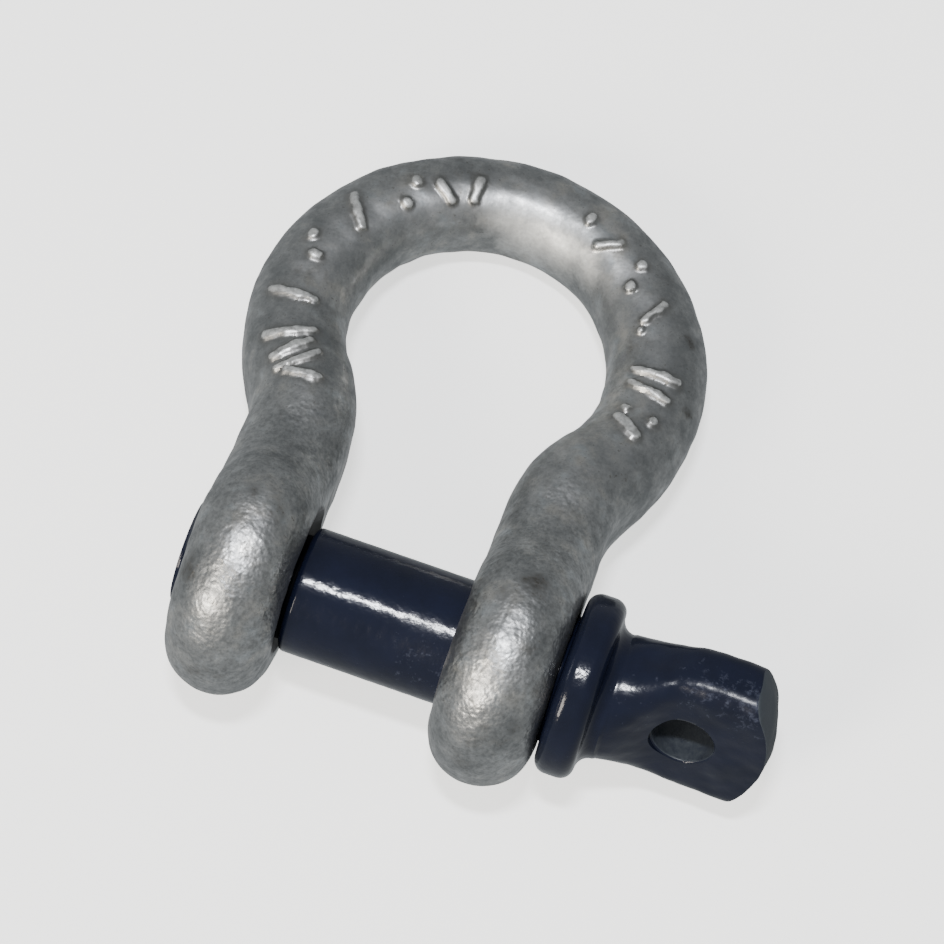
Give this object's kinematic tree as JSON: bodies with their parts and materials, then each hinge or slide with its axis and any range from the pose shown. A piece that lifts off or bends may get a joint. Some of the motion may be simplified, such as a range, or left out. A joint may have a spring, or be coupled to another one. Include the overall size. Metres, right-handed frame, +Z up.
{
  "type": "bow shackle",
  "caption": "Forged bow shackle: a round bar bent to a wide loop with round ears, closed by a screw pin with a collar and a flattened head with an eye.",
  "frame": {"origin": "on the surface the shackle lies on, under the middle of its box", "axes": "+X along the pin towards its head, +Y from the pin to the crown of the bow, +Z up"},
  "size_m": [0.081, 0.0841, 0.0318],
  "materials": {
    "galvanised_steel": "drop-forged and hot-dip galvanised: mottled grey zinc, slightly pimpled, with duller and brighter patches",
    "painted_pin": "dark navy gloss paint on forged and turned steel, with small worn specks"
  },
  "bodies": {
    "bow": {"bow": "galvanised_steel"},
    "pin": {"screw_pin": "painted_pin"}
  },
  "joints": [
    {"name": "pin_slide", "type": "slide", "parent": "bow", "child": "pin", "axis": [1, 0, 0], "range_m": [0, 0.06]}
  ]
}
